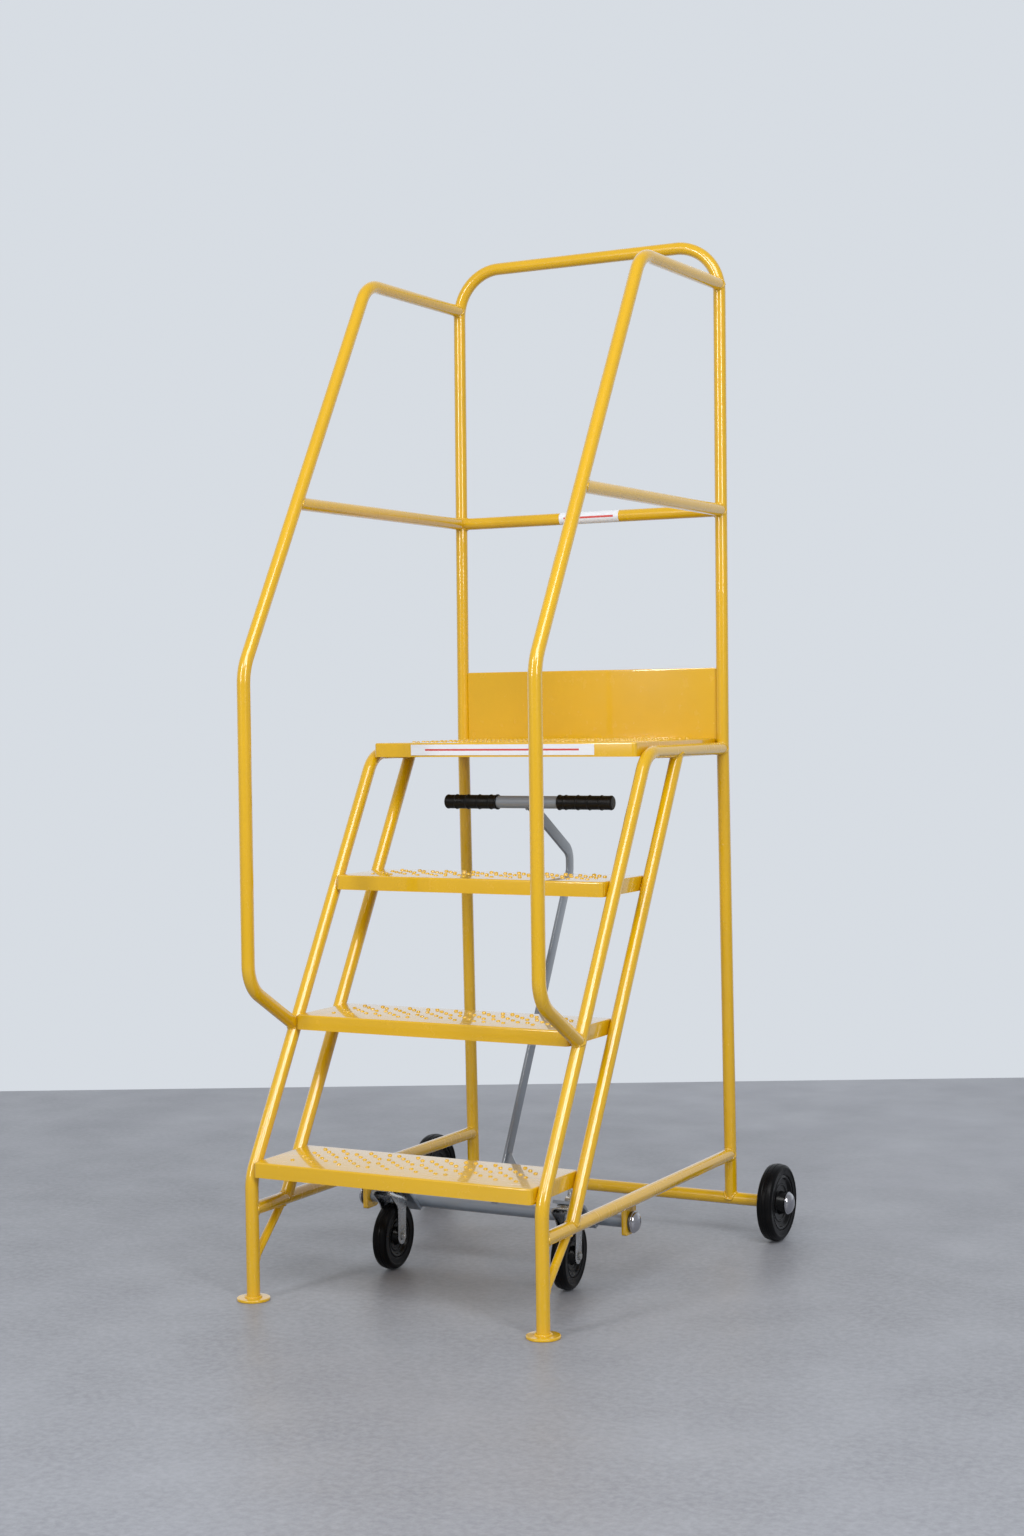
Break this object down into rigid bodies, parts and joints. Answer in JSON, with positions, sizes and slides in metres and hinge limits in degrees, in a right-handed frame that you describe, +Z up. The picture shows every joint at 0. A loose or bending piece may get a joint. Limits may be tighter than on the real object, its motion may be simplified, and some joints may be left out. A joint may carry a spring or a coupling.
{
  "type": "mobile ladder stand",
  "caption": "Welded tube stand with folded treads, a railed platform, rear wheels, and a hand lever that pushes swivel castors down under the front",
  "frame": {"origin": "on the floor, at the middle of the bounding box", "axes": "+Z up, +Y to the rear (the guardrail and rear wheels), +X to the right of somebody climbing the treads"},
  "size_m": [0.8746, 0.954, 2.0337],
  "materials": {
    "yellow_paint": "glossy golden-yellow enamel over steel",
    "grey_paint": "semi-gloss blue-grey paint over steel",
    "white_vinyl": "satin adhesive vinyl",
    "steel": "plain drawn steel, slightly dulled",
    "chrome": "bright plated pressed steel",
    "black_rubber": "matt black moulded rubber",
    "tyre_rubber": "matt black tyre rubber",
    "black_plastic": "moulded black plastic",
    "zinc": "bright zinc plate"
  },
  "bodies": {
    "frame": {"guardrail_hoop": "yellow_paint", "rear_axle_tube": "yellow_paint", "rear_mid_rail": "yellow_paint", "leg_stringer_left": "yellow_paint", "leg_stringer_right": "yellow_paint", "side_rail_left": "yellow_paint", "side_rail_right": "yellow_paint", "rear_stringer_left": "yellow_paint", "rear_stringer_right": "yellow_paint", "leg_brace_left": "yellow_paint", "leg_brace_right": "yellow_paint", "handrail_left": "yellow_paint", "handrail_right": "yellow_paint", "mid_rail_left": "yellow_paint", "mid_rail_right": "yellow_paint", "tread_1": "yellow_paint", "tread_2": "yellow_paint", "tread_3": "yellow_paint", "platform": "yellow_paint", "kick_plate": "yellow_paint", "foot_left": "yellow_paint", "foot_right": "yellow_paint", "lever_bracket_left": "yellow_paint", "lever_bracket_right": "yellow_paint", "platform_sticker": "white_vinyl", "guardrail_sticker": "white_vinyl", "rear_axle_rod": "steel", "lever_pivot_rod": "steel", "lever_washer_left": "steel", "lever_washer_right": "steel", "rear_cap_left": "chrome", "rear_cap_right": "chrome", "lever_cap_left": "chrome", "lever_cap_right": "chrome"},
    "lever": {"torsion_tube": "grey_paint", "lever_bar": "grey_paint", "lever_gusset": "grey_paint", "handle_tube": "grey_paint", "grip_left": "black_rubber", "grip_right": "black_rubber", "castor_arm_left": "grey_paint", "castor_arm_right": "grey_paint", "castor_head_left": "zinc", "castor_head_right": "zinc", "castor_king_bolt_left": "zinc", "castor_king_bolt_right": "zinc", "castor_nut_left": "zinc", "castor_nut_right": "zinc"},
    "rear_wheel_left": {"rear_tyre_left": "tyre_rubber", "rear_rim_left": "black_plastic"},
    "castor_swivel_left": {"castor_fork_left": "zinc", "castor_axle_bolt_left": "zinc"},
    "castor_wheel_left": {"castor_tyre_left": "tyre_rubber", "castor_rim_left": "black_plastic"},
    "rear_wheel_right": {"rear_tyre_right": "tyre_rubber", "rear_rim_right": "black_plastic"},
    "castor_swivel_right": {"castor_fork_right": "zinc", "castor_axle_bolt_right": "zinc"},
    "castor_wheel_right": {"castor_tyre_right": "tyre_rubber", "castor_rim_right": "black_plastic"}
  },
  "joints": [
    {"name": "lever_pivot", "type": "hinge", "parent": "frame", "child": "lever", "pos_m": [0, -0.056, 0.1205], "axis": [1, 0, 0], "range_deg": [0, 18]},
    {"name": "rear_wheel_spin_left", "type": "hinge", "parent": "frame", "child": "rear_wheel_left", "pos_m": [-0.401, 0.3995, 0.0775], "axis": [1, 0, 0], "continuous": true},
    {"name": "castor_swivel_spin_left", "type": "hinge", "parent": "lever", "child": "castor_swivel_left", "pos_m": [-0.185, -0.138, 0.165], "axis": [0, 0.309, 0.9511], "continuous": true},
    {"name": "castor_wheel_spin_left", "type": "hinge", "parent": "castor_swivel_left", "child": "castor_wheel_left", "pos_m": [-0.18657, -0.13269, 0.06496], "axis": [0.999, 0.0415, -0.0135], "continuous": true},
    {"name": "rear_wheel_spin_right", "type": "hinge", "parent": "frame", "child": "rear_wheel_right", "pos_m": [0.401, 0.3995, 0.0775], "axis": [1, 0, 0], "continuous": true},
    {"name": "castor_swivel_spin_right", "type": "hinge", "parent": "lever", "child": "castor_swivel_right", "pos_m": [0.199, -0.138, 0.165], "axis": [0, 0.309, 0.9511], "continuous": true},
    {"name": "castor_wheel_spin_right", "type": "hinge", "parent": "castor_swivel_right", "child": "castor_wheel_right", "pos_m": [0.19524, -0.13284, 0.06501], "axis": [0.9945, 0.0994, -0.0323], "continuous": true}
  ]
}
